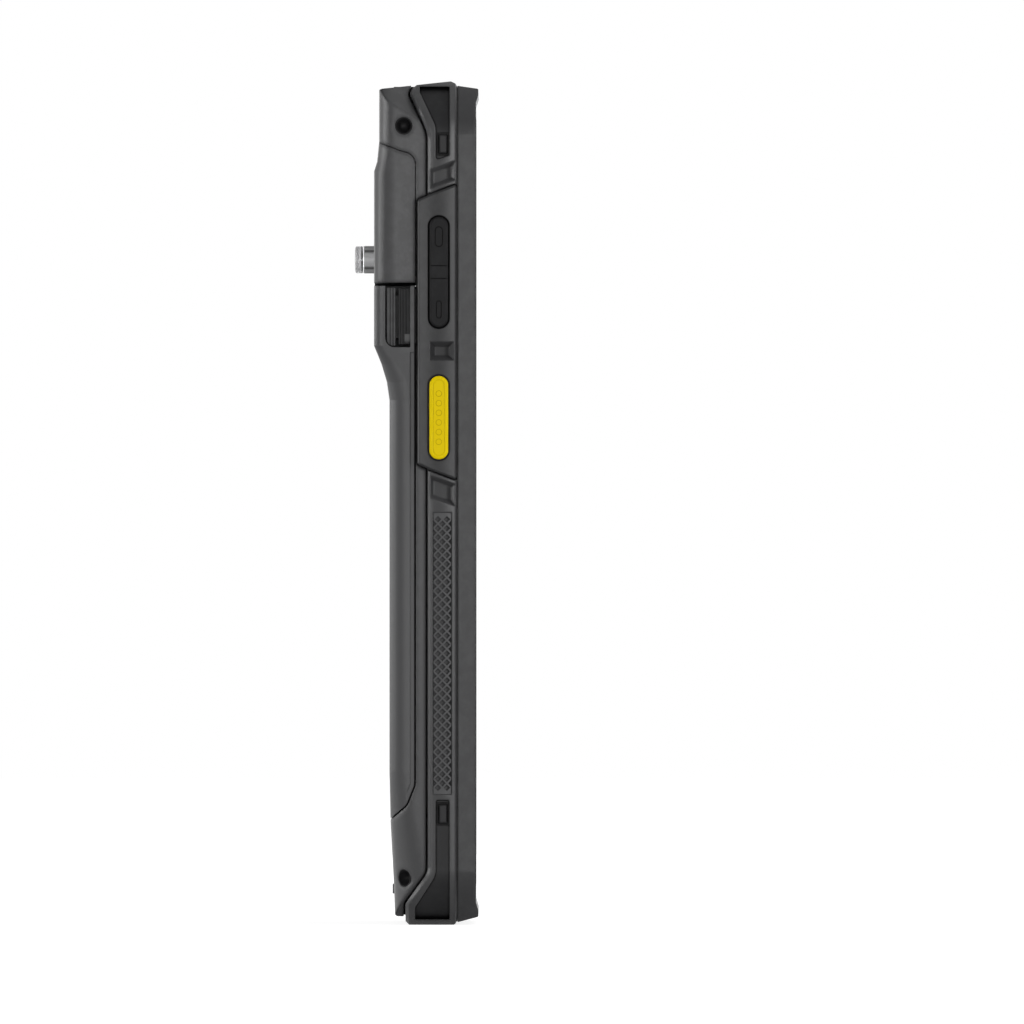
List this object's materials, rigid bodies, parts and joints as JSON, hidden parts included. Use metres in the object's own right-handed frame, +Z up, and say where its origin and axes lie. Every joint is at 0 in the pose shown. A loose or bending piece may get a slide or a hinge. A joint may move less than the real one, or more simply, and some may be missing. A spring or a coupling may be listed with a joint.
{
  "type": "portable barcode data terminal",
  "caption": "Slab-shaped rugged handheld computer with side scan keys, rear head and swing-out battery pack held by side latches.",
  "frame": {"origin": "centre of the flat lower end of the bumper, on which the device stands", "axes": "+Z up the long axis, -Y out of the screen, +X to the user's right"},
  "size_m": [0.0786, 0.0242, 0.1648],
  "materials": {
    "frame_plastic": "fine satin moulded plastic, dark grey",
    "bumper_plastic": "satin overmoulded bumper, dark grey",
    "panel_plastic": "satin moulded plastic, dark grey",
    "housing_plastic": "satin moulded plastic, dark grey",
    "black_plastic": "black moulded plastic",
    "latch_plastic": "dark grey ribbed latch plastic",
    "dark_key": "near-black satin key cap",
    "yellow_key": "satin yellow key cap",
    "guard_rubber": "dark corner rubber",
    "grip_rubber": "diamond-knurled grip rubber",
    "black_rubber": "black gasket",
    "screen_glass": "black glossy cover glass",
    "window_glass": "dark red tinted scan window",
    "camera_glass": "dark camera window",
    "clear_plastic": "clear moulded plastic",
    "frosted_lens": "frosted flash lens",
    "dark_module": "black electronic module",
    "steel_mesh": "woven steel mesh",
    "bright_steel": "pressed bright steel",
    "spring_steel": "drawn spring steel",
    "screw_steel": "blackened screw steel",
    "gold_contact": "gold-plated contact",
    "cast_chassis": "die-cast light alloy",
    "circuit_board": "green solder mask",
    "flex_circuit": "amber flexible circuit",
    "foil_cell": "foil pouch cell"
  },
  "bodies": {
    "root": {"front_frame": "frame_plastic", "display_glass": "screen_glass", "display_gasket": "black_rubber", "display_module": "dark_module", "front_camera": "dark_module", "receiver": "dark_module", "receiver_mesh": "steel_mesh", "bumper": "bumper_plastic", "corner_guard_top_left": "guard_rubber", "corner_guard_top_right": "guard_rubber", "corner_guard_bottom_left": "guard_rubber", "corner_guard_bottom_right": "guard_rubber", "grip_left": "grip_rubber", "grip_right": "grip_rubber", "key_panel_left": "panel_plastic", "key_panel_right": "panel_plastic", "chassis_plate": "cast_chassis", "main_board": "circuit_board", "sub_board": "circuit_board", "post_lamp": "circuit_board", "key_board_left": "flex_circuit", "key_board_right": "flex_circuit", "key_domes_left": "bright_steel", "key_domes_right": "bright_steel", "board_shield": "bright_steel", "processor": "dark_module", "card_holder": "bright_steel", "battery_connector": "black_plastic", "usb_connector": "bright_steel", "speaker": "black_plastic", "vibration_motor": "bright_steel", "rear_housing": "housing_plastic", "head_cover": "housing_plastic", "lens_post": "clear_plastic", "camera_window": "camera_glass", "rear_camera": "dark_module", "flash_lens": "frosted_lens", "scan_window_frame": "black_plastic", "scan_window": "window_glass", "engine_bracket": "cast_chassis", "scan_engine": "dark_module", "charge_contacts": "gold_contact", "housing_screws": "screw_steel"},
    "volume_key": {"volume_key": "dark_key"},
    "scan_key_left": {"scan_key_left": "yellow_key"},
    "scan_key_right": {"scan_key_right": "yellow_key"},
    "power_key": {"power_key": "dark_key"},
    "program_key": {"program_key": "dark_key"},
    "battery": {"battery_cover": "housing_plastic", "battery_tray": "black_plastic", "battery_cell": "foil_cell", "battery_board": "circuit_board", "battery_contacts": "gold_contact", "latch_spring_left": "spring_steel", "latch_spring_right": "spring_steel"},
    "latch_left": {"latch_left": "latch_plastic"},
    "latch_right": {"latch_right": "latch_plastic"}
  },
  "joints": [
    {"name": "scan_left_press", "type": "slide", "parent": "root", "child": "scan_key_left", "axis": [1, 0, 0], "range_m": [0, 0.00045], "stiffness_N_per_m": 2500, "springref_m": -0.0002},
    {"name": "scan_right_press", "type": "slide", "parent": "root", "child": "scan_key_right", "axis": [-1, 0, 0], "range_m": [0, 0.00045], "stiffness_N_per_m": 2500, "springref_m": -0.0002},
    {"name": "power_press", "type": "slide", "parent": "root", "child": "power_key", "axis": [-1, 0, 0], "range_m": [0, 0.00045], "stiffness_N_per_m": 2500, "springref_m": -0.0002},
    {"name": "program_press", "type": "slide", "parent": "root", "child": "program_key", "axis": [-1, 0, 0], "range_m": [0, 0.00045], "stiffness_N_per_m": 2500, "springref_m": -0.0002},
    {"name": "volume_rock", "type": "hinge", "parent": "root", "child": "volume_key", "pos_m": [-0.035, -0.00443, 0.12745], "axis": [0, 1, 0], "range_deg": [-1.5, 1.5], "stiffness_Nm_per_rad": 0.5},
    {"name": "battery_swing", "type": "hinge", "parent": "root", "child": "battery", "pos_m": [0, 0.00492, 0.02095], "axis": [-1, 0, 0], "range_deg": [0, 30]},
    {"name": "latch_left_press", "type": "slide", "parent": "battery", "child": "latch_left", "axis": [1, 0, 0], "range_m": [0, 0.0018], "stiffness_N_per_m": 400, "springref_m": -0.001, "deforming": ["latch_spring_left"]},
    {"name": "latch_right_press", "type": "slide", "parent": "battery", "child": "latch_right", "axis": [-1, 0, 0], "range_m": [0, 0.0018], "stiffness_N_per_m": 400, "springref_m": -0.001, "deforming": ["latch_spring_right"]}
  ]
}
